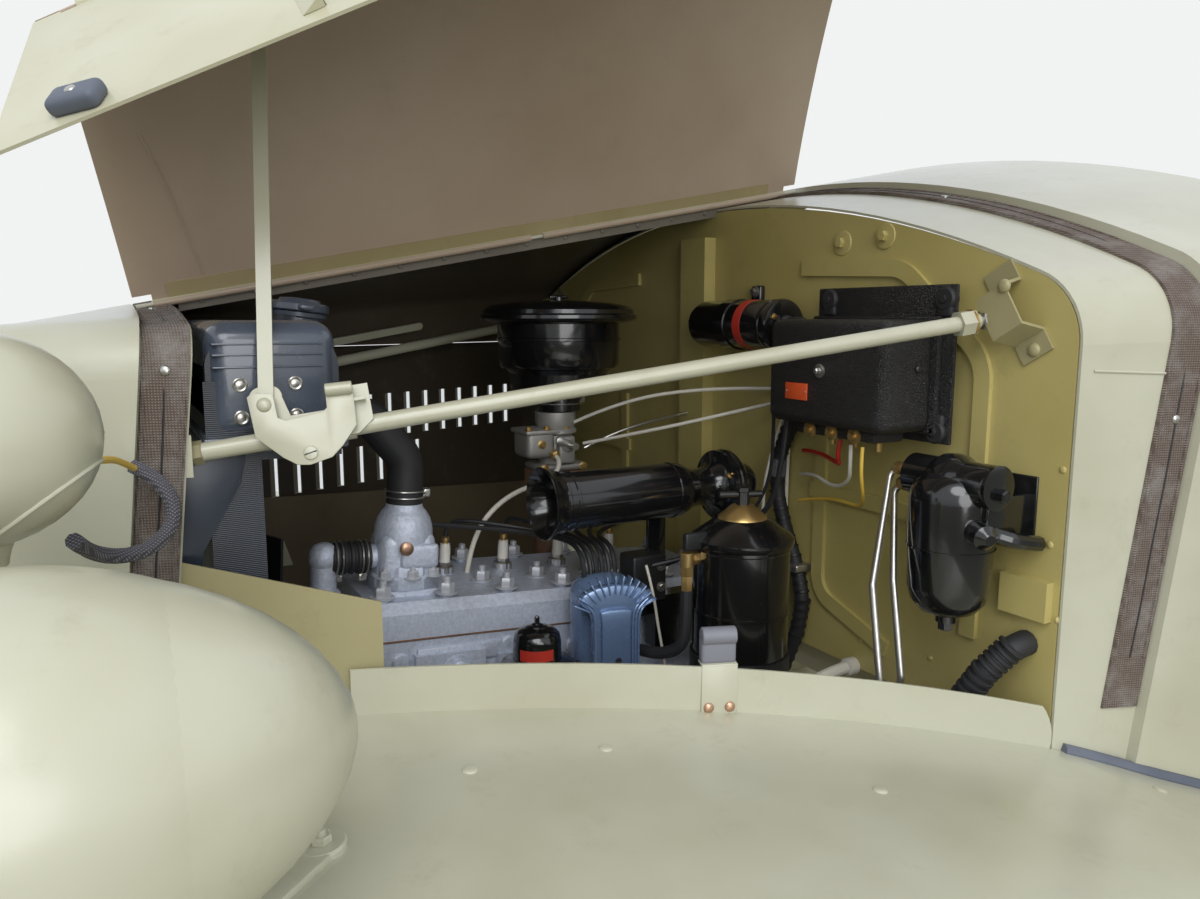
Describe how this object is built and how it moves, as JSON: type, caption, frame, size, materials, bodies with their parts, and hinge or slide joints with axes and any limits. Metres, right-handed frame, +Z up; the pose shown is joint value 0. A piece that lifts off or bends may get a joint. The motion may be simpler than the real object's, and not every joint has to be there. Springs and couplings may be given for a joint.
{
  "type": "vehicle front end",
  "caption": "Front end of a light 4x4 army car with its engine bay: tapering bonnet folding along the middle, flat wings, round lamps, radiator, side-valve engine, bulkhead and frame rails.",
  "frame": {"origin": "centreline, level with the top of the frame rails, in the middle of the four rear bolt holes", "axes": "+X to the vehicle's rear, +Y to its right, +Z up"},
  "size_m": [1.95, 2.0006, 1.6931],
  "materials": {
    "olive": "matt olive paint, dusty",
    "olive_rail": "matt olive paint on thick steel",
    "engine_paint": "silver grey engine paint",
    "black_paint": "gloss black paint",
    "crackle": "black crackle paint",
    "radiator_paint": "dark blue-black paint",
    "cast": "dull casting",
    "iron": "rusty brown casting",
    "steel": "bare steel",
    "hose": "black rubber",
    "strip": "woven brown strip",
    "cover": "blue-grey moulded cover",
    "glass": "clear fluted glass"
  },
  "bodies": {
    "front_end": {"air_cleaner": "black_paint", "bell_housing": "engine_paint", "bonnet_catches": "hose", "bonnet_hinge": "olive", "breather_hose": "hose", "bulkhead": "olive", "bypass_hose": "hose", "carburettor": "cast", "cowl": "olive", "cowl_webbing": "strip", "cross_member_engine": "olive_rail", "cross_member_front": "olive_rail", "cross_member_rear": "olive_rail", "cylinder_head": "engine_paint", "driving_lamp": "olive", "engine_block": "engine_paint", "fan_belt": "hose", "frame_rail_left": "olive_rail", "frame_rail_right": "olive_rail", "fuel_filter": "black_paint", "fuel_pipes": "steel", "fuel_pump": "black_paint", "generator": "black_paint", "grille": "olive", "headlamp_glass": "glass", "headlamp_left": "olive", "headlamp_right": "olive", "horn": "black_paint", "ignition_coil": "black_paint", "ignition_cover": "cover", "lower_hose": "hose", "manifold": "iron", "oil_filler": "black_paint", "oil_filter": "black_paint", "prop_brackets": "olive", "radiator": "radiator_paint", "radiator_cap": "radiator_paint", "radiator_shell": "olive", "regulator": "crackle", "shell_webbing": "strip", "stay_brackets": "olive", "stay_rod_left": "olive", "stay_rod_right": "olive", "sump": "engine_paint", "upper_hose": "hose", "water_outlet": "cast", "water_pump": "engine_paint", "wing_braces": "olive", "wing_left": "olive", "wing_right": "olive", "wiring_loom": "hose"},
    "bonnet_top_left_body": {"bonnet_top_left": "olive"},
    "bonnet_side_left_body": {"bonnet_side_left": "olive"},
    "bonnet_top_right_body": {"bonnet_top_right": "olive"},
    "bonnet_side_right_body": {"bonnet_side_right": "olive"},
    "prop_rod_left_body": {"prop_rod_left": "olive"},
    "prop_rod_right_body": {"prop_rod_right": "olive"},
    "fan_body": {"fan": "black_paint"}
  },
  "joints": [
    {"name": "bonnet_left_hinge", "type": "hinge", "parent": "front_end", "child": "bonnet_top_left_body", "pos_m": [-1.37704, -0.016, 0.76909], "axis": [0.9812, 0, 0.1929], "range_deg": [0, 67]},
    {"name": "bonnet_left_fold", "type": "hinge", "parent": "bonnet_top_left_body", "child": "bonnet_side_left_body", "pos_m": [-1.44827, -0.22187, 1.04744], "axis": [0.85, -0.3051, 0.4294], "range_deg": [-10, 0]},
    {"name": "bonnet_right_hinge", "type": "hinge", "parent": "front_end", "child": "bonnet_top_right_body", "pos_m": [-1.37704, 0.016, 0.76909], "axis": [0.9812, 0, 0.1929], "range_deg": [0, 67]},
    {"name": "bonnet_right_fold", "type": "hinge", "parent": "bonnet_top_right_body", "child": "bonnet_side_right_body", "pos_m": [-1.378, 0.3605, 0.69], "axis": [0.9344, 0.3562, 0], "range_deg": [-10, 0]},
    {"name": "prop_left_pivot", "type": "hinge", "parent": "front_end", "child": "prop_rod_left_body", "pos_m": [-1.326, -0.362, 0.669], "axis": [-0.3074, -0.916, 0.2578], "range_deg": [-82.06, 0]},
    {"name": "prop_right_pivot", "type": "hinge", "parent": "front_end", "child": "prop_rod_right_body", "pos_m": [-1.326, 0.362, 0.669], "axis": [-0.3074, 0.916, 0.2578], "range_deg": [-82.06, 0]},
    {"name": "fan_spin", "type": "hinge", "parent": "front_end", "child": "fan_body", "pos_m": [-1.28781, 0, 0.26646], "axis": [0.9979, 0, -0.0654], "continuous": true}
  ],
  "couplings": [
    {"joint": "bonnet_left_fold", "follows": "bonnet_left_hinge", "ratio": -0.14924},
    {"joint": "bonnet_right_fold", "follows": "bonnet_right_hinge", "ratio": -0.14924},
    {"joint": "prop_left_pivot", "follows": "bonnet_left_hinge", "ratio": -1.2246},
    {"joint": "prop_right_pivot", "follows": "bonnet_right_hinge", "ratio": -1.2246}
  ]
}
